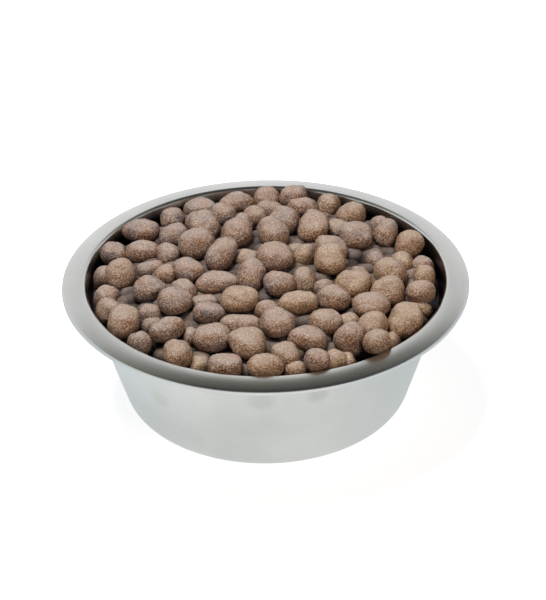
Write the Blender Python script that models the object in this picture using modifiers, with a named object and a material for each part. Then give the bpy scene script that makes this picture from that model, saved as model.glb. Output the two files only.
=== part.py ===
# Stainless steel pet bowl, heaped with dry kibble.
# Metres, +Z up. The origin is under the centre of the base, on the surface the bowl stands on.
# The bowl is one pressed sheet: flat base, leaning wall, rounded rim and a rolled-under edge.
# The kibble that shows on top is loose: each piece is its own solid and lies on what is under it.
# The kibble below, down to the base, is one bed with its upper pieces standing out of it.

from math import atan2, cos, pi, radians, sin, sqrt

import bmesh
import bpy
from mathutils import Euler, Matrix, Vector
from mathutils.bvhtree import BVHTree

MM = 0.001

# Bowl. Its radii and heights are those of the sheet's upper face.
RIM_RADIUS = 85.0 * MM
BOWL_HEIGHT = 57.0 * MM
FLANGE_WIDTH = 7.4 * MM
FLANGE_DROP = 2.4 * MM
SHEET = 0.7 * MM
BASE_FILLET = 8.0 * MM
WALL_LEAN = radians(16.5)
SHOULDER_RADIUS = 3.0 * MM
BEAD_RADIUS = 1.25 * MM
BEAD_CURL = radians(205.0)
BOWL_STEPS = 56
CORNER_STEPS = 4
FLANGE_STEPS = 2
BEAD_STEPS = 5

# Kibble: a usual piece, and the clearance between pieces that touch.
KIBBLE_THICKNESS = 9.4 * MM
SEAT_GAP = 0.3 * MM
SQUARENESS = 2.35
LUMP = 0.05
LUMP_WAVES = (2.6, 3.1, 2.2)

# Heap: the middles of the loose pieces lie near a dome over the bowl.
DOME_RADIUS = 70.0 * MM
DOME_RISE = 6.0 * MM
DOME_EDGE_DROP = 1.0 * MM
BED_DEPTH = 7.1 * MM
BED_STEPS = 36
DOME_STEPS = 6
SLIVER = 0.03 * MM

# Buried pieces stand a little out of the bed, where the gaps between the others are widest.
BURIED_LENGTH = 14.0 * MM
BURIED_WIDTH = 12.5 * MM
BURIED_SHOW = 3.4 * MM
BURIED_PITCH = 3.0 * MM
BURIED_EDGE = 66.0 * MM
BURIED_GAP = 8.8 * MM
GOLDEN_TURN = pi * (3.0 - sqrt(5.0))

# Pieces of the bed that are half hidden between the loose ones. They stand on their edge.
# In millimetres and degrees: across, back, length, width, turn, and height out of the bed.
HALF_HIDDEN_HEIGHT = 13.0 * MM
HALF_HIDDEN = (
    (1.0, 65.5, 13.5, 12.0, 90, 9.2),
    (13.0, 66.5, 13.5, 12.0, 70, 9.6),
    (-30.3, 47.5, 12.0, 9.5, 80, 8.2),
    (-4.3, 47.5, 13.0, 11.0, 90, 9.5),
    (2.2, 56.5, 13.5, 12.0, 80, 9.5),
    (28.3, 60.5, 13.0, 8.0, 80, 8.6),
    (50.3, 43.5, 12.5, 9.5, 120, 8.5),
    (-69.0, 6.5, 12.5, 8.5, 100, 8.0),
    (-41.0, 17.0, 14.0, 9.0, 90, 8.0),
    (-7.0, 9.5, 13.0, 9.0, 70, 7.0),
    (12.0, 18.2, 12.0, 9.0, 60, 6.5),
    (46.8, 11.0, 12.5, 10.0, 120, 7.0),
    (39.3, 0.0, 12.0, 9.0, 90, 7.0),
    (66.0, 9.5, 9.0, 7.0, 60, 8.5),
    (-42.3, -0.5, 12.5, 8.5, 100, 8.5),
    (24.0, -13.0, 11.0, 8.5, 60, 7.0),
    (67.0, -25.5, 10.5, 7.0, 69, 6.8),
    (-46.5, -26.5, 12.0, 9.0, 60, 7.5),
    (-25.0, -21.5, 13.0, 9.5, 10, 7.0),
    (-46.5, -33.5, 11.0, 8.0, 40, 6.0),
    (-30.0, -43.0, 12.0, 7.5, 100, 6.0),
    (0.5, -29.5, 11.0, 9.0, 90, 7.0),
    (32.5, -36.5, 10.0, 7.5, 120, 7.0),
    (53.0, -50.0, 10.0, 7.5, 60, 6.6),
    (26.5, -61.0, 12.0, 7.0, 70, 8.0),
    (-28.0, -66.0, 9.0, 8.0, 0, 6.5),
    (32.5, -63.0, 9.0, 8.0, 0, 6.5),
    (11.5, -70.0, 9.0, 7.0, 20, 7.0),
    (-9.5, 40.0, 13.0, 11.5, 70, 9.3),
    (21.5, 44.5, 13.0, 10.0, 80, 8.6),
    (32.0, 38.5, 13.5, 11.5, 50, 8.3),
    (57.5, 10.5, 12.0, 8.5, 75, 8.8),
    (16.5, 10.5, 13.0, 10.0, 55, 8.8),
    (16.0, -9.0, 15.0, 9.5, 85, 9.8),
    (-65.5, -11.5, 12.5, 9.5, 70, 8.8),
    (-34.5, -14.0, 14.0, 9.5, 110, 8.8),
    (-64.0, -22.5, 12.5, 10.5, 120, 9.3),
    (-48.5, 7.5, 13.5, 10.5, 10, 6.6),
)

# Loose pieces, in millimetres and degrees: across, back, length, width, turn and lean.
# A turn of 0 lays the length across the bowl. A lean lifts the far end of the length.
LOOSE = (
    (31.8, -52.0, 14.0, 12.5, 90, 60),
    (-51.5, -47.5, 12.0, 9.5, 135, 0),
    (8.4, -60.5, 12.8, 11.5, 140, 0),
    (50.0, -15.8, 14.5, 13.0, 90, 25),
    (61.2, -18.3, 11.5, 10.5, 30, 0),
    (15.7, -51.0, 15.0, 12.3, 160, 0),
    (1.0, -68.0, 14.5, 11.0, 0, 0),
    (42.0, -56.5, 12.0, 10.0, 40, 0),
    (36.5, 48.0, 14.5, 13.0, 40, 12),
    (-42.3, -44.6, 14.5, 11.5, 40, 0),
    (-22.0, -31.2, 13.0, 11.0, 170, 2),
    (42.5, -27.2, 15.0, 12.8, 20, 4),
    (-28.3, 62.0, 14.5, 12.5, 10, 0),
    (-13.4, 62.0, 15.5, 12.5, 10, 2),
    (18.0, 55.8, 14.5, 11.0, 15, 2),
    (-40.0, 50.0, 13.0, 11.0, 80, 8),
    (-18.7, 50.5, 14.5, 12.5, 30, 4),
    (8.0, 40.5, 15.5, 13.5, 100, 8),
    (-53.2, 39.3, 15.5, 13.0, 5, 3),
    (-38.7, 33.0, 14.5, 12.0, 70, 8),
    (-26.2, 36.3, 15.0, 13.5, 110, 12),
    (-12.3, 28.0, 16.0, 13.5, 75, 14),
    (3.5, 26.5, 16.5, 14.0, 110, 12),
    (20.8, 31.2, 16.0, 13.0, 70, 13),
    (38.8, 26.3, 15.0, 13.5, 100, 16),
    (48.8, 32.0, 13.5, 10.5, 80, 12),
    (60.8, 22.3, 15.0, 11.5, 60, 20),
    (-66.5, 22.5, 13.0, 11.0, 100, 5),
    (-51.0, 21.3, 15.0, 11.5, 175, 0),
    (-29.0, 18.5, 16.5, 15.0, 100, 16),
    (-18.2, 8.5, 17.0, 12.5, 65, 14),
    (28.2, 16.0, 15.0, 12.5, 110, 8),
    (3.8, 6.0, 16.0, 14.0, 105, 12),
    (28.0, 4.0, 15.0, 13.0, 95, 12),
    (51.5, 0.8, 16.0, 14.5, 100, 6),
    (66.5, -1.0, 12.5, 11.0, 80, 5),
    (-61.5, 1.5, 15.0, 13.0, 95, 28),
    (-32.0, 0.5, 15.5, 11.5, 125, 6),
    (-19.7, -11.5, 16.0, 13.0, 10, 3),
    (-5.5, -8.2, 15.5, 11.8, 85, 12),
    (5.2, -14.8, 13.0, 11.5, 0, 2),
    (36.0, -12.0, 15.5, 14.5, 60, 5),
    (-48.0, -12.5, 15.0, 12.0, 175, 0),
    (-57.8, -32.5, 16.5, 15.0, 90, 14),
    (-36.5, -24.8, 14.0, 13.4, 90, 5),
    (-10.0, -23.5, 15.5, 13.3, 70, 6),
    (12.8, -27.0, 14.8, 12.0, 10, 2),
    (26.2, -24.0, 13.5, 12.0, 170, 5),
    (59.5, -37.5, 17.5, 14.0, 60, 20),
    (-17.8, -66.5, 14.5, 11.5, 175, 0),
    (-22.8, -49.3, 15.5, 14.2, 100, 6),
    (-11.8, -38.8, 15.0, 11.5, 165, 0),
    (4.9, -42.8, 15.0, 13.8, 90, 4),
    (22.5, -40.5, 13.5, 11.5, 120, 0),
    (-7.8, -55.5, 16.0, 14.5, 100, 6),
    (43.7, -41.5, 14.5, 12.3, 60, 4),
    (-37.8, -56.3, 14.0, 12.5, 110, 5),
    (20.5, -66.5, 10.5, 9.5, 110, 0),
)

# A loose piece comes straight down, and slips sideways while that lets it lie lower.
FALL_HEIGHT = 30.0 * MM
FALL_STEP = 0.05 * MM
SLIP_STEP = 1.0 * MM
SLIP_MOVES = 4
SLIP_WAYS = 6
SLIP_SLOPE = 0.7

STEEL_COLOUR = (0.62, 0.62, 0.61, 1.0)
KIBBLE_COLOUR = (0.34, 0.235, 0.17, 1.0)
BED_COLOUR = (0.24, 0.16, 0.115, 1.0)


def dome_height(radius):
    """Height of the heap's dome at a distance from the bowl's axis."""
    rise = DOME_RISE * (1.0 - (radius / DOME_RADIUS) ** 2)
    return BOWL_HEIGHT - DOME_EDGE_DROP + rise


def arc(centre, radius, start, end, steps):
    """Points of an arc in the bowl's section, from one angle to another."""
    angles = [start + (end - start) * i / steps for i in range(steps + 1)]
    return [(centre[0] + radius * cos(a), centre[1] + radius * sin(a)) for a in angles]


def shoulder_centre():
    """Middle of the rounded shoulder between the wall and the rim's crest."""
    return (RIM_RADIUS - FLANGE_WIDTH, BOWL_HEIGHT - SHOULDER_RADIUS)


def wall_radius(height):
    """Distance from the axis to the wall's upper face, at a height below the shoulder."""
    centre = shoulder_centre()
    top_radius = centre[0] - SHOULDER_RADIUS * cos(WALL_LEAN)
    top_height = centre[1] + SHOULDER_RADIUS * sin(WALL_LEAN)
    return top_radius - (top_height - height) * sin(WALL_LEAN) / cos(WALL_LEAN)


def base_corner(inset):
    """Arc between the base and the wall, moved into the bowl by an inset."""
    corner_height = SHEET + BASE_FILLET
    wall_foot = wall_radius(corner_height - BASE_FILLET * sin(WALL_LEAN))
    centre = (wall_foot - BASE_FILLET * cos(WALL_LEAN), corner_height)
    return arc(centre, BASE_FILLET - inset, -pi / 2, -WALL_LEAN, CORNER_STEPS)


def bowl_section():
    """Upper face of the sheet, from the middle of the base to the curled edge."""
    crest = shoulder_centre()
    edge_reach = FLANGE_WIDTH - BEAD_RADIUS
    flange_turn = 2.0 * atan2(FLANGE_DROP - BEAD_RADIUS, edge_reach)
    flange_radius = edge_reach / sin(flange_turn) + BEAD_RADIUS
    flange_centre = (crest[0], BOWL_HEIGHT - flange_radius)
    bead_centre = (RIM_RADIUS - BEAD_RADIUS, BOWL_HEIGHT - FLANGE_DROP)
    flange_end = pi / 2 - flange_turn
    points = [(0.0, SHEET)]
    points += base_corner(0.0)
    points += arc(crest, SHOULDER_RADIUS, pi - WALL_LEAN, pi / 2, CORNER_STEPS)
    points += arc(flange_centre, flange_radius, pi / 2, flange_end, FLANGE_STEPS)[1:]
    points += arc(bead_centre, BEAD_RADIUS, flange_end, flange_end - BEAD_CURL, BEAD_STEPS)[1:]
    return points


def bed_section():
    """Outside of the bed, from the top of its dome down the wall to the base."""
    edge_height = bed_height(DOME_RADIUS)
    edge_radius = wall_radius(edge_height) - SEAT_GAP / cos(WALL_LEAN)
    points = []
    for i in range(DOME_STEPS):
        radius = edge_radius * i / DOME_STEPS
        points.append((radius, bed_height(radius)))
    points.append((edge_radius, edge_height))
    points += reversed(base_corner(SEAT_GAP))
    points.append((0.0, SHEET + SEAT_GAP))
    return points


def material(name, colour, roughness, metallic):
    """Plain Principled material."""
    made = bpy.data.materials.new(name)
    made.use_nodes = True
    shader = made.node_tree.nodes["Principled BSDF"]
    shader.inputs["Base Color"].default_value = colour
    shader.inputs["Roughness"].default_value = roughness
    shader.inputs["Metallic"].default_value = metallic
    return made


def turned(name, section, steps, collection):
    """Object made by turning a section about the Z axis."""
    mesh = bpy.data.meshes.new(name)
    edges = [(i, i + 1) for i in range(len(section) - 1)]
    mesh.from_pydata([(r, 0.0, z) for r, z in section], edges, [])
    piece = bpy.data.objects.new(name, mesh)
    collection.objects.link(piece)
    screw = piece.modifiers.new("Turn", "SCREW")
    screw.axis = "Z"
    screw.angle = 2 * pi
    screw.steps = steps
    screw.render_steps = steps
    screw.use_merge_vertices = True
    screw.merge_threshold = 0.00001
    screw.use_smooth_shade = True
    return piece


def make_bowl(collection):
    """Pressed sheet bowl: the section is turned, then given the sheet's thickness."""
    bowl = turned("bowl", bowl_section(), BOWL_STEPS, collection)
    sheet = bowl.modifiers.new("Sheet", "SOLIDIFY")
    sheet.thickness = SHEET
    sheet.offset = -1.0
    bowl.data.materials.append(material("steel", STEEL_COLOUR, 0.25, 1.0))
    return bowl


def round_off(mesh, size, form):
    """Shape a rough ball into a pressed, slightly lumpy kibble of a size."""
    for vertex in mesh.verts:
        way = vertex.co.normalized()
        box = sum(abs(part) ** SQUARENESS for part in way) ** (-1.0 / SQUARENESS)
        lumps = sum(sin(LUMP_WAVES[i] * way[i] + (i + 1) * form) for i in range(3))
        reach = box * (1.0 + LUMP * lumps)
        vertex.co = Vector(way[i] * size[i] / 2.0 * reach for i in range(3))


def kibble_mesh(name, size, form, fine):
    """Mesh of one kibble: a rounded ball where it shows, a rounded cube where it's buried."""
    ball = bmesh.new()
    if fine:
        bmesh.ops.create_icosphere(ball, subdivisions=2, radius=1.0)
    else:
        bmesh.ops.create_cube(ball, size=1.0)
        bmesh.ops.subdivide_edges(ball, edges=ball.edges[:], cuts=1, use_grid_fill=True)
    round_off(ball, size, form)
    bmesh.ops.triangulate(ball, faces=ball.faces[:])
    mesh = bpy.data.meshes.new(name)
    ball.to_mesh(mesh)
    ball.free()
    mesh.shade_smooth()
    return mesh


def kept_inside(across, back, width, height):
    """Plan position of a piece, drawn in where its side would pass through the wall."""
    radius = sqrt(across ** 2 + back ** 2)
    limit = wall_radius(height) - width / 2.0 - SEAT_GAP
    share = min(1.0, limit / radius) if radius > 0.0 else 1.0
    return across * share, back * share


def bed_height(radius):
    """Height of the bed's own surface at a distance from the bowl's axis."""
    return dome_height(radius) - BED_DEPTH


def buried_places():
    """Positions of the buried pieces: each goes where the gap between the others is widest."""
    taken = [Vector(row[:2]) * MM for row in HALF_HIDDEN + LOOSE]
    reach = int(BURIED_EDGE / BURIED_PITCH)
    steps = [step * BURIED_PITCH for step in range(-reach, reach + 1)]
    free = [Vector((x, y)) for x in steps for y in steps if x ** 2 + y ** 2 < BURIED_EDGE ** 2]
    gaps = [min((place - other).length for other in taken) for place in free]
    places = []
    while max(gaps) > BURIED_GAP:
        chosen = free[gaps.index(max(gaps))]
        places.append(chosen)
        gaps = [min(gap, (place - chosen).length) for gap, place in zip(gaps, free)]
    return places


def bury(name, guides, place, size, turn, show):
    """Add a piece that is sunk in the bed, and stands out of it by a height."""
    mesh = kibble_mesh(name, size, GOLDEN_TURN * len(guides.objects), False)
    height = bed_height(DOME_RADIUS) + show - size[2] / 2.0
    outward = Vector((place[0], place[1], 0.0)).normalized()
    corners = [Matrix.Rotation(turn, 3, "Z") @ vertex.co for vertex in mesh.vertices]
    limit = min(wall_radius(height + corner.z) - corner.dot(outward) for corner in corners)
    radius = min(sqrt(place[0] ** 2 + place[1] ** 2), limit - 2.0 * SEAT_GAP)
    guide = bpy.data.objects.new(name, mesh)
    guide.location = outward * radius
    guide.location.z = bed_height(radius) + show - size[2] / 2.0
    guide.rotation_euler = (0.0, 0.0, turn)
    guide.hide_render = True
    guide.display_type = "WIRE"
    guides.objects.link(guide)


def make_bed(collection, guides):
    """Bed of kibble under the loose pieces, one body with the pieces that stand out of it."""
    bed = turned("kibble_bed", bed_section(), BED_STEPS, collection)
    size = (BURIED_LENGTH, BURIED_WIDTH, KIBBLE_THICKNESS)
    for number, place in enumerate(buried_places()):
        bury("buried", guides, place, size, number * GOLDEN_TURN, BURIED_SHOW)
    for row in HALF_HIDDEN:
        across, back, length, width = (value * MM for value in row[:4])
        size = (length, width, HALF_HIDDEN_HEIGHT)
        bury("half_hidden", guides, (across, back), size, radians(row[4]), row[5] * MM)
    bed.modifiers.new("Flat faces", "TRIANGULATE")
    join = bed.modifiers.new("Pieces", "BOOLEAN")
    join.operation = "UNION"
    join.solver = "EXACT"
    join.operand_type = "COLLECTION"
    join.collection = guides
    tidy = bed.modifiers.new("Slivers", "WELD")
    tidy.merge_threshold = SLIVER
    bed.data.materials.append(material("kibble_bed", BED_COLOUR, 0.95, 0.0))
    return bed


class Solid:
    """Touching points and faces of a piece, for measuring the room between two pieces."""

    def __init__(self, mesh, frame):
        corners = [frame @ v.co for v in mesh.vertices]
        middles = [(corners[e.vertices[0]] + corners[e.vertices[1]]) / 2.0 for e in mesh.edges]
        self.points = corners + middles
        self.tree = BVHTree.FromPolygons(corners, [tuple(p.vertices) for p in mesh.polygons])

    def near(self, centre, reach):
        """Points that lie within reach of a centre, seen from above."""
        return [point for point in self.points if (point.xy - centre.xy).length < reach]


def evaluated_solid(piece):
    """Solid of an object as its modifiers leave it."""
    bpy.context.view_layer.update()
    shown = piece.evaluated_get(bpy.context.evaluated_depsgraph_get())
    return Solid(shown.data, piece.matrix_world)


def room(falling, fall, others):
    """Least distance between a piece that has come down by a fall and what lies around it."""
    least = FALL_HEIGHT
    down = Vector((0.0, 0.0, fall))
    for other, near in others:
        for point in falling.points:
            found = other.tree.find_nearest(point - down, least)
            if found[3] is not None:
                least = found[3]
        for point in near:
            found = falling.tree.find_nearest(point + down, least)
            if found[3] is not None:
                least = found[3]
    return least


def seated_height(mesh, rotation, across, back, placed):
    """Height at which a piece that comes straight down meets what is already there."""
    start = BOWL_HEIGHT + DOME_RISE + FALL_HEIGHT
    centre = Vector((across, back, start))
    falling = Solid(mesh, Matrix.Translation(centre) @ rotation)
    reach = max((point.xy - centre.xy).length for point in falling.points) + 2.0 * SEAT_GAP
    others = [(solid, solid.near(centre, reach)) for solid in placed]
    others = [(solid, near) for solid, near in others if near]
    fall = 0.0
    step = 0.0
    free = room(falling, fall, others)
    while free > SEAT_GAP:
        step = max(free - SEAT_GAP, FALL_STEP)
        fall += step
        free = room(falling, fall, others)
    return start - (fall - step)


def settled_place(mesh, rotation, width, across, back, placed):
    """Place of a piece that slips sideways, a step at a time, to where it lies lowest."""
    across, back = kept_inside(across, back, width, dome_height(sqrt(across ** 2 + back ** 2)))
    best = (seated_height(mesh, rotation, across, back, placed), across, back)
    for move in range(SLIP_MOVES):
        tried = [best]
        for way in range(SLIP_WAYS):
            turn = 2 * pi * way / SLIP_WAYS
            x, y = best[1] + SLIP_STEP * cos(turn), best[2] + SLIP_STEP * sin(turn)
            x, y = kept_inside(x, y, width, best[0])
            tried.append((seated_height(mesh, rotation, x, y, placed), x, y))
        lowest = min(tried)
        if best[0] - lowest[0] < SLIP_STEP * SLIP_SLOPE:
            break
        best = lowest
    return best[1], best[2], best[0]


def make_loose(bowl, bed, collection):
    """Loose pieces, each brought straight down on to the bed, the wall and the pieces before it."""
    placed = [evaluated_solid(bowl), evaluated_solid(bed)]
    for number, row in enumerate(LOOSE):
        across, back, length, width = (value * MM for value in row[:4])
        turn, lean = (radians(value) for value in row[4:])
        name = "kibble_%02d" % (number + 1)
        size = (length, width, KIBBLE_THICKNESS)
        mesh = kibble_mesh(name, size, GOLDEN_TURN * (number + 0.5), True)
        rotation = Euler((0.0, -lean, turn), "XYZ")
        piece = bpy.data.objects.new(name, mesh)
        frame = rotation.to_matrix().to_4x4()
        piece.location = settled_place(mesh, frame, width, across, back, placed)
        piece.rotation_euler = rotation
        collection.objects.link(piece)
        mesh.materials.append(material(name, KIBBLE_COLOUR, 0.9, 0.0))
        placed.append(evaluated_solid(piece))


def main():
    for old in list(bpy.data.objects):
        bpy.data.objects.remove(old)
    collection = bpy.data.collections.new("pet_bowl_of_kibble")
    guides = bpy.data.collections.new("buried_kibble")
    bpy.context.scene.collection.children.link(collection)
    bpy.context.scene.collection.children.link(guides)
    bowl = make_bowl(collection)
    bed = make_bed(collection, guides)
    make_loose(bowl, bed, collection)


main()
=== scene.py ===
# Looks of a stainless steel pet bowl heaped with dry kibble.
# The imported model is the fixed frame. Every piece here is in metres, in the same frame.
# The bowl is turned again with a fine section, each loose kibble is refined from its own solid,
# and the bed under them is made of whole kibbles.

import random
from math import atan2, cos, pi, radians, sin, sqrt

import bmesh
import bpy
from mathutils import Matrix, Vector, noise


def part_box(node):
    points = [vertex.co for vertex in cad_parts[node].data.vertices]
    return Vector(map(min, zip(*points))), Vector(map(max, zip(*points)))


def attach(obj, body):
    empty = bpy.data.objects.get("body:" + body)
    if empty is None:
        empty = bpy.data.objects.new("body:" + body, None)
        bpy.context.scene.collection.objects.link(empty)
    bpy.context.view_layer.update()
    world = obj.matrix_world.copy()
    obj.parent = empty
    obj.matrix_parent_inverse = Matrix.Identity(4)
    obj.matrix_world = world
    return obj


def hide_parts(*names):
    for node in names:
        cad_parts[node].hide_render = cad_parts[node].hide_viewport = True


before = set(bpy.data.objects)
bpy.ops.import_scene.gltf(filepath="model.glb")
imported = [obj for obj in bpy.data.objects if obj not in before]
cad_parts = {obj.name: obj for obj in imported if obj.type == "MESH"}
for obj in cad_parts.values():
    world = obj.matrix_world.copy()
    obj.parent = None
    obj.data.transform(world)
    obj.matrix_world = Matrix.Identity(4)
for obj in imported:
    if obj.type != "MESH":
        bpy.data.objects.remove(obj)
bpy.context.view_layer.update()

MM = 0.001


def srgb(red, green, blue):
    """Linear colour of an 8-bit screen colour."""
    parts = [value / 255.0 for value in (red, green, blue)]
    return tuple(p / 12.92 if p <= 0.04045 else ((p + 0.055) / 1.055) ** 2.4 for p in parts)


# Bowl section. The rim's radius and the height come from the frame, and the base and the wall lie
# as the solid has them. The shoulder is drawn crisper, so the flange reaches further in.
FLANGE_WIDTH = 8.45 * MM
FLANGE_DROP = 2.4 * MM
SHEET = 0.7 * MM
BASE_FILLET = 8.0 * MM
WALL_LEAN = radians(16.5)
SHOULDER_RADIUS = 1.6 * MM
BEAD_RADIUS = 1.25 * MM
BEAD_CURL = radians(205.0)

# Steps round the bowl, and along each part of its section from the middle to the edge.
BOWL_STEPS = 240
BASE_STEPS = 8
CORNER_STEPS = 12
WALL_STEPS = 10
SHOULDER_STEPS = 14
FLANGE_STEPS = 8
BEAD_STEPS = 16
JOIN_DISTANCE = 0.00001

# Camera: the photograph's size, field of view, distance, angle above the floor and roll, and
# where the middle of the rim lies in it.
PHOTO_WIDTH = 546.0
PHOTO_HEIGHT = 600.0
FOCAL_PIXELS = 2036.0
CAMERA_DISTANCE = 0.850
CAMERA_ELEVATION = radians(31.2)
CAMERA_ROLL = -0.016
RIM_CENTRE_PIXEL = (265.5, 274.0)
SENSOR = 36.0
NEAR_CLIP = 0.05

# Kibble surface: heights of the dents, lumps and grain, and how far apart they are.
DENT = 0.95 * MM
DENT_SPACING = 7.0 * MM
KNOB = 0.32 * MM
KNOB_SPACING = 3.2 * MM
GRAIN = 0.11 * MM
GRAIN_SPACING = 1.1 * MM

# These give each kibble a noise of its own.
SEED_STEPS = (17.0, 5.3, 11.7)
LOOSE_SEED = 7
BED_SEED = 3

# The loose kibbles also grow by this, since rounding draws their edges in.
LOOSE_GROWTH = 0.12 * MM

# Levels of subdivision of each kind of kibble. The last one is for a coarse kibble that only
# tells how near to the wall it can lie.
LOOSE_LEVELS = 3
HALF_HIDDEN_LEVELS = 5
BURIED_LEVELS = 4
FILLING_LEVELS = 3
OUTLINE_LEVELS = 2

# Kibble tones, from the greyest to the brownest. Which one a kibble has depends on where it lies,
# with the first weight, and on chance, with the second.
KIBBLE_TONES = srgb(106, 92, 93), srgb(126, 102, 90), srgb(152, 121, 86)
TONE_SIDE = 0.7
TONE_SPREAD = 1.0

# Textures of the kibble: scale per metre, detail and roughness.
KIBBLE_TEXTURES = {
    "patches": (170.0, 3.0, 0.55),
    "mottle": (1400.0, 4.0, 0.7),
    "specks": (2300.0, 2.0, 0.6),
}

# Coats over the tone, the lowest first: baked patches, dust, pores, flour and pits. Each has the
# texture that it follows, its share at two values of that texture, and its colour.
KIBBLE_COATS = (
    ("patches", ((0.38, 0.0), (0.60, 0.90)), srgb(134, 95, 68)),
    ("mottle", ((0.52, 0.0), (0.68, 0.62)), srgb(238, 214, 188)),
    ("mottle", ((0.32, 0.80), (0.46, 0.0)), srgb(66, 48, 44)),
    ("specks", ((0.54, 0.0), (0.68, 0.50)), srgb(238, 214, 188)),
    ("specks", ((0.32, 0.70), (0.45, 0.0)), srgb(36, 27, 28)),
)

# Pale powder on faces that look up, partly painted light on the tops: its share at two values of
# the upward part of the normal.
KIBBLE_POWDER_AND_TOP_LIGHT = srgb(226, 212, 200)
POWDER_AND_TOP_LIGHT_STOPS = ((0.65, 0.0), (1.0, 0.30))

# Painted shade: the gaps and the pieces' lower sides are painted darker the deeper they lie, where
# shade falls. Share by depth under the dome, as a part of the millimetres given next.
KIBBLE_PAINTED_SHADE = srgb(14, 14, 22)
SHADE_DEPTH = 10.0
SHADE_STOPS = ((0.12, 0.0), (0.28, 0.50), (0.42, 0.86), (0.72, 0.97))

# Relief of the kibble's material: how much each texture adds, and the height and strength of all.
PORE_SCALE = 700.0
PORE_STOPS = ((0.0, 0.0), (0.22, 1.0))
MOTTLE_RELIEF = 0.9
PORE_RELIEF = 0.35
SPECK_RELIEF = 0.35
KIBBLE_RELIEF = 0.28 * MM
KIBBLE_BUMP = 0.8

# Steel colours: two clean tints, a painted reflection on the outside at the right and left, the
# smudges, and painted shade on the inside below the shoulder, where it mirrors the dark kibble.
STEEL_TINTS = srgb(217, 219, 218), srgb(234, 235, 232)
STEEL_SIDE_REFLECTION = srgb(206, 213, 216)
STEEL_SMUDGED = srgb(211, 213, 210)
STEEL_INNER_SHADE = srgb(96, 78, 64)
INNER_SHADE_DEPTH = 6.0 * MM

# Where these colours show, each as shares at two values: of the clouds, of the distance to the
# side over the rim's radius, of how far the face looks outwards or inwards, of the distance from
# a smudge's middle over its size, and of the depth under the rim over the painted shade's depth.
CLOUD_STOPS = ((0.3, 0.0), (0.7, 1.0))
ASIDE_STOPS = ((0.30, 0.0), (0.75, 1.0))
OUTWARD_STOPS = ((0.5, 0.0), (0.7, 1.0))
INWARD_STOPS = ((0.2, 0.0), (0.5, 1.0))
SMUDGE_STOPS = ((0.4, 0.9), (0.85, 0.0))
INNER_SHADE_STOPS = ((0.50, 0.0), (0.85, 0.93))

# Spun marks, with how close they lie and how short they are round the bowl, and clouds. Both
# add to the steel's roughness, and the marks have some relief.
MARKS_ACROSS = 5200.0
MARKS_ROUND = 3.0
CLOUD_SCALE = 24.0
STEEL_ROUGHNESS = 0.21
MARK_ROUGHNESS = 0.10
CLOUD_ROUGHNESS = 0.05
STEEL_RELIEF = 0.03 * MM
STEEL_BUMP = 0.10

# Faint smudges on the wall: turn in degrees from the right, height and size in millimetres.
SMUDGES = ((-129.5, 31.5, 7.0), (-92.0, 42.5, 8.0), (-74.0, 43.0, 6.5))

# Heap, as in the solids: the bed's surface lies BED_DEPTH under a dome over the bowl.
DOME_RADIUS = 70.0 * MM
DOME_RISE = 6.0 * MM
DOME_EDGE_DROP = 1.0 * MM
BED_DEPTH = 7.1 * MM
SEAT_GAP = 0.3 * MM
SQUARENESS = 2.35
LUMP = 0.05
LUMP_WAVES = (2.6, 3.1, 2.2)
GOLDEN_TURN = pi * (3.0 - sqrt(5.0))

# Pieces of the bed that are half hidden between the loose ones, at the places they have there.
# In millimetres and degrees: across, back, length, width, turn, and height out of the bed.
HALF_HIDDEN = (
    (1.0, 65.5, 13.5, 12.0, 90, 9.2),
    (13.0, 66.5, 13.5, 12.0, 70, 9.6),
    (-30.3, 47.5, 12.0, 9.5, 80, 8.2),
    (-4.3, 47.5, 13.0, 11.0, 90, 9.5),
    (2.2, 56.5, 13.5, 12.0, 80, 9.5),
    (28.3, 60.5, 13.0, 8.0, 80, 8.6),
    (50.3, 43.5, 12.5, 9.5, 120, 8.5),
    (-69.0, 6.5, 12.5, 8.5, 100, 8.0),
    (-41.0, 17.0, 14.0, 9.0, 90, 8.0),
    (-7.0, 9.5, 13.0, 9.0, 70, 7.0),
    (12.0, 18.2, 12.0, 9.0, 60, 6.5),
    (46.8, 11.0, 12.5, 10.0, 120, 7.0),
    (39.3, 0.0, 12.0, 9.0, 90, 7.0),
    (66.0, 9.5, 9.0, 7.0, 60, 8.5),
    (-42.3, -0.5, 12.5, 8.5, 100, 8.5),
    (24.0, -13.0, 11.0, 8.5, 60, 7.0),
    (67.0, -25.5, 10.5, 7.0, 69, 6.8),
    (-46.5, -26.5, 12.0, 9.0, 60, 7.5),
    (-25.0, -21.5, 13.0, 9.5, 10, 7.0),
    (-46.5, -33.5, 11.0, 8.0, 40, 6.0),
    (-30.0, -43.0, 12.0, 7.5, 100, 6.0),
    (0.5, -29.5, 11.0, 9.0, 90, 7.0),
    (32.5, -36.5, 10.0, 7.5, 120, 7.0),
    (53.0, -50.0, 10.0, 7.5, 60, 6.6),
    (26.5, -61.0, 12.0, 7.0, 70, 8.0),
    (-28.0, -66.0, 9.0, 8.0, 0, 6.5),
    (32.5, -63.0, 9.0, 8.0, 0, 6.5),
    (11.5, -70.0, 9.0, 7.0, 20, 7.0),
    (-9.5, 40.0, 13.0, 11.5, 70, 9.3),
    (21.5, 44.5, 13.0, 10.0, 80, 8.6),
    (32.0, 38.5, 13.5, 11.5, 50, 8.3),
    (57.5, 10.5, 12.0, 8.5, 75, 8.8),
    (16.5, 10.5, 13.0, 10.0, 55, 8.8),
    (16.0, -9.0, 15.0, 9.5, 85, 9.8),
    (-65.5, -11.5, 12.5, 9.5, 70, 8.8),
    (-34.5, -14.0, 14.0, 9.5, 110, 8.8),
    (-64.0, -22.5, 12.5, 10.5, 120, 9.3),
    (-48.5, 7.5, 13.5, 10.5, 10, 6.6),
)
HALF_HIDDEN_HEIGHT = 13.0 * MM
HALF_HIDDEN_LEAST = 10.5 * MM

# Those behind this line are lifted by this, as they lie on others in the photograph.
BACK_LINE = 60.0 * MM
BACK_LIFT = 2.4 * MM

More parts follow.
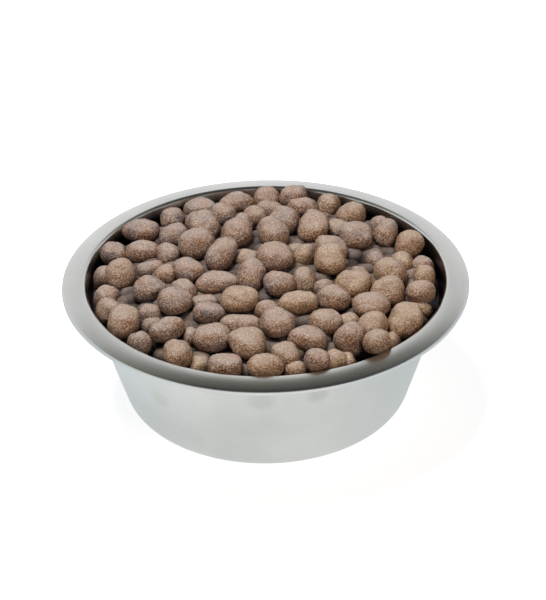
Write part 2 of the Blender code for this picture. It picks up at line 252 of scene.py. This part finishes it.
# Buried pieces stand a little out of the bed, where the gaps between the others are widest.
BURIED_SIZE = (14.0 * MM, 12.5 * MM, 9.4 * MM)
BURIED_SHOW = 3.4 * MM
BURIED_PITCH = 3.0 * MM
BURIED_EDGE = 66.0 * MM
BURIED_GAP = 8.8 * MM

# More pieces, which the solids don't have, fill the smaller gaps between all of these.
FILLING_GAP = 5.6 * MM
FILLING_SHOW = 4.0 * MM

# Plain dome under them.
UNDER_RINGS = 10
UNDER_STEPS = 64

# Studio: even light on what isn't steel, the floor's grey and its glow, to the camera and in the
# steel, and the middle of the dark ceiling. The floor's glow in the camera is FLOOR_LIFT round the
# bowl, and full at a distance of FLOOR_FADE.
SOFT_LIGHT = (0.115, 0.12, 0.14)
FLOOR_GREY = 0.86
FLOOR_GREY_IN_STEEL = 0.18
FLOOR_TINT_IN_STEEL = (0.98, 1.0, 0.985)
FLOOR_LIFT = 0.70
FLOOR_FADE = 1.2
FLOOR_GLOW_IN_STEEL = 0.70
FLOOR_REACH = 6.0
DARK_CENTRE = (0.12, -0.17, 0.97)

# What the steel mirrors, from straight below (0) to the middle of the dark ceiling (1).
STUDIO_STOPS = (
    (0.40, 0.97),
    (0.60, 0.78),
    (0.69, 0.90),
    (0.73, 0.78),
    (0.775, (0.19, 0.185, 0.16)),
    (0.86, (0.115, 0.11, 0.095)),
    (0.95, 0.05),
)

# Lamps: name, place, size, power in watts and colour. All of them aim at the kibble.
LAMPS = (
    ("key", (-0.28, 0.08, 1.12), 0.38, 12.4, (0.97, 0.98, 1.0)),
    ("front", (0.45, -0.75, 0.55), 0.5, 2.8, (1.0, 0.86, 0.74)),
)
LAMP_TARGET = (0.0, 0.0, 0.05)

_low, _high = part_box("bowl")
RIM_RADIUS = (_high.x - _low.x) / 2.0
BOWL_HEIGHT = _high.z - _low.z


def arc(centre, radius, start, end, steps):
    """Points of an arc in the bowl's section, from one angle to another."""
    angles = [start + (end - start) * i / steps for i in range(steps + 1)]
    return [(centre[0] + radius * cos(a), centre[1] + radius * sin(a)) for a in angles]


def wall_radius(height):
    """Distance from the axis to the wall's upper face, at a height below the shoulder."""
    crest = RIM_RADIUS - FLANGE_WIDTH
    top_radius = crest - SHOULDER_RADIUS * cos(WALL_LEAN)
    top_height = BOWL_HEIGHT - SHOULDER_RADIUS * (1.0 - sin(WALL_LEAN))
    return top_radius - (top_height - height) * sin(WALL_LEAN) / cos(WALL_LEAN)


def bowl_section():
    """Upper face of the sheet, from the middle of the base to the curled edge."""
    corner_height = SHEET + BASE_FILLET
    foot = wall_radius(corner_height - BASE_FILLET * sin(WALL_LEAN))
    corner = (foot - BASE_FILLET * cos(WALL_LEAN), corner_height)
    crest = (RIM_RADIUS - FLANGE_WIDTH, BOWL_HEIGHT - SHOULDER_RADIUS)
    edge_reach = FLANGE_WIDTH - BEAD_RADIUS
    flange_turn = 2.0 * atan2(FLANGE_DROP - BEAD_RADIUS, edge_reach)
    flange_radius = edge_reach / sin(flange_turn) + BEAD_RADIUS
    flange = (crest[0], BOWL_HEIGHT - flange_radius)
    bead = (RIM_RADIUS - BEAD_RADIUS, BOWL_HEIGHT - FLANGE_DROP)
    flange_end = pi / 2 - flange_turn
    points = [(corner[0] * i / BASE_STEPS, SHEET) for i in range(BASE_STEPS)]
    points += arc(corner, BASE_FILLET, -pi / 2, -WALL_LEAN, CORNER_STEPS)
    shoulder = arc(crest, SHOULDER_RADIUS, pi - WALL_LEAN, pi / 2, SHOULDER_STEPS)
    low, high = points[-1], shoulder[0]
    for i in range(1, WALL_STEPS):
        share = i / WALL_STEPS
        points.append(tuple(low[k] + (high[k] - low[k]) * share for k in (0, 1)))
    points += shoulder
    points += arc(flange, flange_radius, pi / 2, flange_end, FLANGE_STEPS)[1:]
    points += arc(bead, BEAD_RADIUS, flange_end, flange_end - BEAD_CURL, BEAD_STEPS)[1:]
    return points


def applied(piece):
    """Bake an object's modifiers into its mesh."""
    bpy.context.view_layer.update()
    shown = piece.evaluated_get(bpy.context.evaluated_depsgraph_get())
    mesh = bpy.data.meshes.new_from_object(shown)
    piece.modifiers.clear()
    old = piece.data
    piece.data = mesh
    bpy.data.meshes.remove(old)
    return piece


def new_piece(name, mesh):
    """Link a new object to the scene."""
    piece = bpy.data.objects.new(name, mesh)
    bpy.context.scene.collection.objects.link(piece)
    return piece


# Shader helpers


class Nodes:
    """A material's or world's node tree, with short calls to add and join nodes."""

    def __init__(self, tree):
        self.tree = tree

    def add(self, kind, **settings):
        node = self.tree.nodes.new(kind)
        for key, value in settings.items():
            setattr(node, key, value)
        return node

    def join(self, output, socket):
        self.tree.links.new(output, socket)

    def put(self, socket, value):
        """Set a socket from another node's output, a plain value or a colour."""
        if isinstance(value, bpy.types.NodeSocket):
            self.join(value, socket)
        elif isinstance(value, tuple):
            socket.default_value = (*value, 1.0)
        else:
            socket.default_value = value

    def math(self, operation, first, second=0.0):
        node = self.add("ShaderNodeMath", operation=operation)
        self.put(node.inputs[0], first)
        self.put(node.inputs[1], second)
        return node.outputs[0]

    def ramp(self, value, stops):
        """Colour ramp. Each stop is a position and a grey or a colour."""
        node = self.add("ShaderNodeValToRGB")
        elements = node.color_ramp.elements
        while len(elements) < len(stops):
            elements.new(0.5)
        for element, (position, colour) in zip(elements, stops):
            element.position = position
            if isinstance(colour, float):
                colour = (colour, colour, colour)
            element.color = (*colour, 1.0)
        self.put(node.inputs[0], value)
        return node.outputs[0]

    def mix(self, share, first, second):
        node = self.add("ShaderNodeMix", data_type="RGBA")
        self.put(node.inputs["Factor"], share)
        self.put(node.inputs["A"], first)
        self.put(node.inputs["B"], second)
        return node.outputs["Result"]

    def noise(self, vector, scale, detail, roughness=0.55):
        node = self.add("ShaderNodeTexNoise")
        self.put(node.inputs["Vector"], vector)
        node.inputs["Scale"].default_value = scale
        node.inputs["Detail"].default_value = detail
        node.inputs["Roughness"].default_value = roughness
        return node.outputs["Fac"]


def new_material(name):
    """Empty Principled material: its nodes, its shader and itself."""
    made = bpy.data.materials.new(name)
    made.use_nodes = True
    nodes = Nodes(made.node_tree)
    return made, nodes, made.node_tree.nodes["Principled BSDF"]


def kibble_material():
    """Baked dry kibble: dusty brown, with pale specks, dark pores and a fine rough grain, powder
    and painted light on its tops, and painted shade deeper in the heap.
    """
    made, n, shader = new_material("dry_kibble")
    place = n.add("ShaderNodeTexCoord").outputs["Object"]
    tone = n.add("ShaderNodeAttribute", attribute_name="tone").outputs["Fac"]
    depth = n.add("ShaderNodeAttribute", attribute_name="depth").outputs["Fac"]
    textures = {name: n.noise(place, *grain) for name, grain in KIBBLE_TEXTURES.items()}
    colour = n.ramp(tone, tuple(zip((0.0, 0.5, 1.0), KIBBLE_TONES)))
    for name, stops, coat in KIBBLE_COATS:
        colour = n.mix(n.ramp(textures[name], stops), colour, coat)
    # Powder and painted top light: the faces that look up are paler.
    up = n.add("ShaderNodeSeparateXYZ")
    n.join(n.add("ShaderNodeNewGeometry").outputs["Normal"], up.inputs[0])
    colour = n.mix(n.ramp(up.outputs["Z"], POWDER_AND_TOP_LIGHT_STOPS), colour, KIBBLE_POWDER_AND_TOP_LIGHT)
    # Painted shade: darker with the depth under the dome, in the gaps and on the lower sides.
    painted_shade = n.ramp(n.math("DIVIDE", depth, SHADE_DEPTH), SHADE_STOPS)
    n.join(n.mix(painted_shade, colour, KIBBLE_PAINTED_SHADE), shader.inputs["Base Color"])
    shader.inputs["Roughness"].default_value = 0.92
    shader.inputs["Specular IOR Level"].default_value = 0.15
    shader.inputs["Sheen Weight"].default_value = 0.03
    shader.inputs["Sheen Roughness"].default_value = 0.6
    pores = n.add("ShaderNodeTexVoronoi", feature="F1")
    n.join(place, pores.inputs["Vector"])
    pores.inputs["Scale"].default_value = PORE_SCALE
    holes = n.math("MULTIPLY", n.ramp(pores.outputs["Distance"], PORE_STOPS), PORE_RELIEF)
    height = n.math("ADD", n.math("MULTIPLY", textures["mottle"], MOTTLE_RELIEF), holes)
    height = n.math("ADD", height, n.math("MULTIPLY", textures["specks"], SPECK_RELIEF))
    bump = n.add("ShaderNodeBump")
    bump.inputs["Strength"].default_value = KIBBLE_BUMP
    bump.inputs["Distance"].default_value = KIBBLE_RELIEF
    n.join(height, bump.inputs["Height"])
    n.join(bump.outputs["Normal"], shader.inputs["Normal"])
    return made


def steel_material():
    """Satin stainless steel, spun: very fine marks run round the bowl."""
    made, n, shader = new_material("satin_steel")
    place = n.add("ShaderNodeTexCoord").outputs["Object"]
    split = n.add("ShaderNodeSeparateXYZ")
    n.join(place, split.inputs[0])
    across = n.math("POWER", split.outputs["X"], 2.0)
    back = n.math("POWER", split.outputs["Y"], 2.0)
    radius = n.math("SQRT", n.math("ADD", across, back))
    turn = n.math("ARCTAN2", split.outputs["Y"], split.outputs["X"])
    spun = n.add("ShaderNodeCombineXYZ")
    n.join(n.math("MULTIPLY", radius, MARKS_ACROSS), spun.inputs[0])
    n.join(n.math("MULTIPLY", turn, MARKS_ROUND), spun.inputs[1])
    n.join(n.math("MULTIPLY", split.outputs["Z"], MARKS_ACROSS), spun.inputs[2])
    marks = n.noise(spun.outputs[0], 1.0, 3.0, 0.6)
    cloud = n.noise(place, CLOUD_SCALE, 2.0)
    shader.inputs["Metallic"].default_value = 1.0
    clean = n.mix(n.ramp(cloud, CLOUD_STOPS), *STEEL_TINTS)
    level = n.add("ShaderNodeCombineXYZ")
    n.join(split.outputs["X"], level.inputs[0])
    n.join(split.outputs["Y"], level.inputs[1])
    outward = n.add("ShaderNodeVectorMath", operation="DOT_PRODUCT")
    n.join(n.add("ShaderNodeNewGeometry").outputs["Normal"], outward.inputs[0])
    n.join(level.outputs[0], outward.inputs[1])
    facing = n.math("DIVIDE", outward.outputs["Value"], RIM_RADIUS)
    aside = n.math("DIVIDE", n.math("ABSOLUTE", split.outputs["X"]), RIM_RADIUS)
    # Painted reflection: the outside is tinted cooler and darker towards the left and right.
    faces_out = n.ramp(facing, OUTWARD_STOPS)
    painted_side_reflection = n.math("MULTIPLY", n.ramp(aside, ASIDE_STOPS), faces_out)
    clean = n.mix(painted_side_reflection, clean, STEEL_SIDE_REFLECTION)
    for degrees, height, size in SMUDGES:
        reach = wall_radius(height * MM) + SHEET
        angle = radians(degrees)
        spot = n.add("ShaderNodeVectorMath", operation="DISTANCE")
        n.join(place, spot.inputs[0])
        spot.inputs[1].default_value = (reach * cos(angle), reach * sin(angle), height * MM)
        share = n.math("DIVIDE", spot.outputs["Value"], size * MM)
        clean = n.mix(n.ramp(share, SMUDGE_STOPS), clean, STEEL_SMUDGED)
    # Painted shade: the inside below the shoulder is painted dark brown, as it mirrors the
    # kibble's shaded sides.
    faces_in = n.ramp(n.math("MULTIPLY", facing, -1.0), INWARD_STOPS)
    below = n.math("DIVIDE", n.math("SUBTRACT", BOWL_HEIGHT, split.outputs["Z"]), INNER_SHADE_DEPTH)
    painted_inner_shade = n.math("MULTIPLY", faces_in, n.ramp(below, INNER_SHADE_STOPS))
    n.join(n.mix(painted_inner_shade, clean, STEEL_INNER_SHADE), shader.inputs["Base Color"])
    rough = n.math("ADD", STEEL_ROUGHNESS, n.math("MULTIPLY", marks, MARK_ROUGHNESS))
    rough = n.math("ADD", rough, n.math("MULTIPLY", cloud, CLOUD_ROUGHNESS))
    n.join(rough, shader.inputs["Roughness"])
    shader.inputs["Anisotropic"].default_value = 0.3
    bump = n.add("ShaderNodeBump")
    bump.inputs["Strength"].default_value = STEEL_BUMP
    bump.inputs["Distance"].default_value = STEEL_RELIEF
    n.join(marks, bump.inputs["Height"])
    n.join(bump.outputs["Normal"], shader.inputs["Normal"])
    return made


# Pieces


def make_bowl(steel):
    """Fine bowl: the section turned in many steps, then given the sheet's thickness."""
    section = bowl_section()
    mesh = bpy.data.meshes.new("steel_bowl")
    edges = [(i, i + 1) for i in range(len(section) - 1)]
    mesh.from_pydata([(r, 0.0, z) for r, z in section], edges, [])
    bowl = new_piece("steel_bowl", mesh)
    screw = bowl.modifiers.new("Turn", "SCREW")
    screw.steps = BOWL_STEPS
    screw.render_steps = BOWL_STEPS
    screw.use_merge_vertices = True
    screw.merge_threshold = JOIN_DISTANCE
    screw.use_smooth_shade = True
    sheet = bowl.modifiers.new("Sheet", "SOLIDIFY")
    sheet.thickness = SHEET
    sheet.offset = -1.0
    applied(bowl)
    bowl.data.materials.clear()
    bowl.data.materials.append(steel)
    bowl.data.shade_smooth()
    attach(bowl, "root")
    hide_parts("bowl")
    return bowl


def smooth_copy(node, levels):
    """Mesh of a CAD kibble, rounded by subdivision."""
    mesh = bpy.data.meshes.new(node.name + "_fine")
    shape = bmesh.new()
    shape.from_mesh(node.data)
    bmesh.ops.remove_doubles(shape, verts=shape.verts[:], dist=JOIN_DISTANCE)
    shape.to_mesh(mesh)
    shape.free()
    piece = new_piece(node.name + "_fine", mesh)
    rounded = piece.modifiers.new("Round", "SUBSURF")
    rounded.levels = levels
    rounded.render_levels = levels
    applied(piece)
    return piece


def spread(points):
    """Middle and half size of a list of points, along each axis."""
    low = Vector(min(p[i] for p in points) for i in range(3))
    high = Vector(max(p[i] for p in points) for i in range(3))
    return (low + high) / 2.0, (high - low) / 2.0


def weather(mesh, seed, grow):
    """Grow a rounded kibble a little and give it dents, lumps and grain."""
    offset = Vector(step * seed for step in SEED_STEPS)
    normals = [v.normal.copy() for v in mesh.vertices]
    for vertex, normal in zip(mesh.vertices, normals):
        place = vertex.co
        dent = noise.noise(place / DENT_SPACING + offset)
        knob = noise.noise(place / KNOB_SPACING + offset)
        grain = noise.fractal(place / GRAIN_SPACING + offset, 0.8, 2.0, 2)
        vertex.co = place + normal * (grow + DENT * dent + KNOB * knob + GRAIN * grain)


def set_looks(mesh, tones):
    """Store each vertex's tone and its depth under the dome, in millimetres, which the material
    turns into painted shade.
    """
    depths = [(bed_height(v.co.xy.length) + BED_DEPTH - v.co.z) / MM for v in mesh.vertices]
    for name, values in (("tone", tones), ("depth", depths)):
        mesh.attributes.new(name, "FLOAT", "POINT").data.foreach_set("value", values)


def tone_at(place, chance):
    """Tone of a kibble: greyer at the left and back, browner at the right and front."""
    side = (place[0] - place[1]) / (2.0 * DOME_RADIUS)
    return min(max(0.5 + TONE_SIDE * side + TONE_SPREAD * (chance - 0.5), 0.0), 1.0)


def make_loose(kibble):
    """Fine loose kibbles, one for each of their solids. Gives their middles."""
    draw = random.Random(LOOSE_SEED)
    middles = []
    for name in sorted(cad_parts):
        if not name.startswith("kibble_") or name == "kibble_bed":
            continue
        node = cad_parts[name]
        middle, half = spread([v.co for v in node.data.vertices])
        piece = smooth_copy(node, LOOSE_LEVELS)
        mesh = piece.data
        fine_middle, fine_half = spread([v.co for v in mesh.vertices])
        for vertex in mesh.vertices:
            away = vertex.co - fine_middle
            vertex.co = middle + Vector(away[i] * half[i] / fine_half[i] for i in range(3))
        weather(mesh, draw.random(), LOOSE_GROWTH)
        set_looks(mesh, [tone_at(middle, draw.random())] * len(mesh.vertices))
        mesh.materials.clear()
        mesh.materials.append(kibble)
        mesh.shade_smooth()
        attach(piece, "root")
        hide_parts(name)
        middles.append(middle.xy)
    return middles


def bed_height(radius):
    """Height of the bed's surface at a distance from the bowl's axis."""
    rise = DOME_RISE * (1.0 - (radius / DOME_RADIUS) ** 2)
    return BOWL_HEIGHT - DOME_EDGE_DROP + rise - BED_DEPTH


def ball(size, form, fineness):
    """Rounded, slightly lumpy kibble of a size, with its middle at the origin."""
    shape = bmesh.new()
    bmesh.ops.create_icosphere(shape, subdivisions=fineness, radius=1.0)
    for vertex in shape.verts:
        way = vertex.co.normalized()
        box = sum(abs(part) ** SQUARENESS for part in way) ** (-1.0 / SQUARENESS)
        lumps = sum(sin(LUMP_WAVES[i] * way[i] + (i + 1) * form) for i in range(3))
        reach = box * (1.0 + LUMP * lumps)
        vertex.co = Vector(way[i] * size[i] / 2.0 * reach for i in range(3))
    return shape


def join_ball(pile, size, form, fineness, frame_of_piece, tone):
    """Add one weathered kibble to a pile's mesh, and its tone to the pile's list."""
    heap, tones = pile
    shape = ball(size, form, fineness)
    mesh = bpy.data.meshes.new("one")
    shape.to_mesh(mesh)
    shape.free()
    weather(mesh, form, 0.0)
    mesh.transform(frame_of_piece)
    heap.from_mesh(mesh)
    tones.extend([tone] * len(mesh.vertices))
    bpy.data.meshes.remove(mesh)


def heap_piece(name, pile, kibble):
    """Object of a pile's joined kibbles, standing for the bed."""
    heap, tones = pile
    mesh = bpy.data.meshes.new(name)
    heap.to_mesh(mesh)
    heap.free()
    set_looks(mesh, tones)
    mesh.materials.append(kibble)
    mesh.shade_smooth()
    piece = new_piece(name, mesh)
    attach(piece, "root")
    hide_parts("kibble_bed")
    return piece


def join_sunk(pile, place, size, form, turn, show, fineness, chance):
    """Add one kibble that is sunk in the bed, and stands out of it by a height."""
    height = bed_height(DOME_RADIUS) + show - size[2] / 2.0
    outward = Vector((place[0], place[1], 0.0)).normalized()
    shape = ball(size, form, OUTLINE_LEVELS)
    corners = [Matrix.Rotation(turn, 3, "Z") @ vertex.co for vertex in shape.verts]
    shape.free()
    limit = min(wall_radius(height + corner.z) - corner.dot(outward) for corner in corners)
    radius = min(sqrt(place[0] ** 2 + place[1] ** 2), limit - 2.0 * SEAT_GAP)
    middle = outward * radius
    middle.z = bed_height(radius) + show - size[2] / 2.0
    turned = Matrix.Translation(middle) @ Matrix.Rotation(turn, 4, "Z")
    join_ball(pile, size, form, fineness, turned, tone_at(middle, chance))


def gap_places(taken, least):
    """Positions in the gaps between others, the widest gap first. Adds them to those taken."""
    reach = int(BURIED_EDGE / BURIED_PITCH)
    steps = [step * BURIED_PITCH for step in range(-reach, reach + 1)]
    free = [Vector((x, y)) for x in steps for y in steps if x ** 2 + y ** 2 < BURIED_EDGE ** 2]
    gaps = [min((place - other).length for other in taken) for place in free]
    places = []
    while max(gaps) > least:
        chosen = free[gaps.index(max(gaps))]
        places.append(chosen)
        gaps = [min(gap, (place - chosen).length) for gap, place in zip(gaps, free)]
    taken += places
    return places


def make_bed(kibble, middles):
    """Bed of kibble: the half hidden pieces, the buried ones and those that fill small gaps."""
    draw = random.Random(BED_SEED)
    taken = [Vector(row[:2]) * MM for row in HALF_HIDDEN] + middles
    buried = gap_places(taken, BURIED_GAP)
    filling = gap_places(taken, FILLING_GAP)
    shown = (bmesh.new(), [])
    lower = (bmesh.new(), [])
    for number, place in enumerate(buried):
        turn = number * GOLDEN_TURN
        chance = draw.random()
        join_sunk(lower, place, BURIED_SIZE, turn, turn, BURIED_SHOW, BURIED_LEVELS, chance)
    for number, row in enumerate(HALF_HIDDEN):
        across, back, length, width = (value * MM for value in row[:4])
        length = max(length, HALF_HIDDEN_LEAST)
        width = max(width, HALF_HIDDEN_LEAST)
        size = (length, width, HALF_HIDDEN_HEIGHT)
        form = GOLDEN_TURN * (number + len(buried))
        turn = radians(row[4])
        show = row[5] * MM + (BACK_LIFT if back > BACK_LINE else 0.0)
        chance = draw.random()
        join_sunk(shown, (across, back), size, form, turn, show, HALF_HIDDEN_LEVELS, chance)
    for number, place in enumerate(filling):
        turn = number * GOLDEN_TURN
        chance = draw.random()
        join_sunk(lower, place, BURIED_SIZE, turn, turn, FILLING_SHOW, FILLING_LEVELS, chance)
    heap_piece("half_hidden_kibble", shown, kibble)
    heap_piece("lower_kibble", lower, kibble)


def make_under(kibble):
    """Plain dome under the lower pieces, which closes the last gaps."""
    edge = wall_radius(bed_height(DOME_RADIUS)) - SEAT_GAP
    radii = [edge * i / UNDER_RINGS for i in range(UNDER_RINGS + 1)]
    edges = [(i, i + 1) for i in range(UNDER_RINGS)]
    mesh = bpy.data.meshes.new("under_kibble")
    mesh.from_pydata([(r, 0.0, bed_height(r)) for r in radii], edges, [])
    piece = new_piece("under_kibble", mesh)
    screw = piece.modifiers.new("Turn", "SCREW")
    screw.steps = UNDER_STEPS
    screw.render_steps = UNDER_STEPS
    screw.use_merge_vertices = True
    applied(piece)
    # The dome lies deep, so its painted shade makes it near black.
    set_looks(piece.data, [0.0] * len(piece.data.vertices))
    piece.data.materials.clear()
    piece.data.materials.append(kibble)
    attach(piece, "root")
    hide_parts("kibble_bed")


def make_stage():
    """White floor for the bowl to stand on."""
    mesh = bpy.data.meshes.new("floor")
    signs = ((-1, -1), (1, -1), (1, 1), (-1, 1))
    corners = [(FLOOR_REACH * x, FLOOR_REACH * y, 0.0) for x, y in signs]
    mesh.from_pydata(corners, [], [(0, 1, 2, 3)])
    floor = new_piece("floor", mesh)
    made, n, shader = new_material("floor_white")
    ray = n.add("ShaderNodeLightPath")
    in_steel = ray.outputs["Is Glossy Ray"]
    grey = n.mix(in_steel, (FLOOR_GREY,) * 3, (FLOOR_GREY_IN_STEEL,) * 3)
    n.join(grey, shader.inputs["Base Color"])
    shader.inputs["Roughness"].default_value = 0.9
    shader.inputs["Specular IOR Level"].default_value = 0.0
    n.join(n.mix(in_steel, (1.0,) * 3, FLOOR_TINT_IN_STEEL), shader.inputs["Emission Color"])
    reach = n.add("ShaderNodeVectorMath", operation="LENGTH")
    n.join(n.add("ShaderNodeTexCoord").outputs["Object"], reach.inputs[0])
    distance = n.math("DIVIDE", reach.outputs["Value"], FLOOR_FADE)
    lift = n.ramp(distance, ((0.2, FLOOR_LIFT), (1.0, 1.0)))
    seen = n.math("MULTIPLY", ray.outputs["Is Camera Ray"], lift)
    mirrored = n.math("MULTIPLY", in_steel, FLOOR_GLOW_IN_STEEL)
    n.join(n.math("ADD", seen, mirrored), shader.inputs["Emission Strength"])
    mesh.materials.append(made)


def make_world():
    """Studio round the bowl: bright near the horizon, greying upwards to a dark ceiling."""
    world = bpy.data.worlds.new("studio")
    bpy.context.scene.world = world
    world.use_nodes = True
    n = Nodes(world.node_tree)
    background = world.node_tree.nodes["Background"]
    way = n.add("ShaderNodeTexCoord").outputs["Generated"]
    ceiling = n.add("ShaderNodeVectorMath", operation="DOT_PRODUCT")
    n.join(way, ceiling.inputs[0])
    ceiling.inputs[1].default_value = Vector(DARK_CENTRE).normalized()
    share = n.math("MULTIPLY", n.math("ADD", ceiling.outputs["Value"], 1.0), 0.5)
    mirrored = n.ramp(share, STUDIO_STOPS)
    ray = n.add("ShaderNodeLightPath")
    around = n.mix(ray.outputs["Is Glossy Ray"], SOFT_LIGHT, mirrored)
    seen = n.mix(ray.outputs["Is Camera Ray"], around, (1.0,) * 3)
    n.join(seen, background.inputs["Color"])
    background.inputs["Strength"].default_value = 1.0


def area_light(name, place, size, power, colour):
    """Soft square lamp that lights the kibble and isn't seen in the steel."""
    lamp = bpy.data.lights.new(name, "AREA")
    lamp.size = size
    lamp.energy = power
    lamp.color = colour
    piece = bpy.data.objects.new(name, lamp)
    piece.location = place
    aim = Vector(LAMP_TARGET) - Vector(place)
    piece.rotation_euler = aim.to_track_quat("-Z", "Y").to_euler()
    piece.visible_glossy = False
    bpy.context.scene.collection.objects.link(piece)


def make_camera():
    """Camera at the photograph's angle: the rim's middle falls on its pixel."""
    rim = Vector((0.0, 0.0, BOWL_HEIGHT))
    ahead = Vector((0.0, cos(CAMERA_ELEVATION), -sin(CAMERA_ELEVATION)))
    level = Vector((1.0, 0.0, 0.0))
    upward = level.cross(ahead)
    right = cos(CAMERA_ROLL) * level + sin(CAMERA_ROLL) * upward
    up = cos(CAMERA_ROLL) * upward - sin(CAMERA_ROLL) * level
    aside = (PHOTO_WIDTH / 2.0 - RIM_CENTRE_PIXEL[0]) / FOCAL_PIXELS
    below = (PHOTO_HEIGHT / 2.0 - RIM_CENTRE_PIXEL[1]) / FOCAL_PIXELS
    aim = (ahead + right * aside - up * below).normalized()
    side = aim.cross(up).normalized()
    top = side.cross(aim)
    data = bpy.data.cameras.new("camera")
    data.sensor_width = SENSOR
    data.lens = FOCAL_PIXELS * SENSOR / PHOTO_HEIGHT
    data.clip_start = NEAR_CLIP
    camera = bpy.data.objects.new("camera", data)
    axes = Matrix((side, top, -aim)).transposed().to_4x4()
    camera.matrix_world = Matrix.Translation(rim - ahead * CAMERA_DISTANCE) @ axes
    bpy.context.scene.collection.objects.link(camera)
    bpy.context.scene.camera = camera


def main():
    """Build the studio, then the bowl and its kibble."""
    bpy.context.scene.view_settings.view_transform = "Standard"
    make_camera()
    make_world()
    make_stage()
    for lamp in LAMPS:
        area_light(*lamp)
    make_bowl(steel_material())
    kibble = kibble_material()
    make_bed(kibble, make_loose(kibble))
    make_under(kibble)


main()
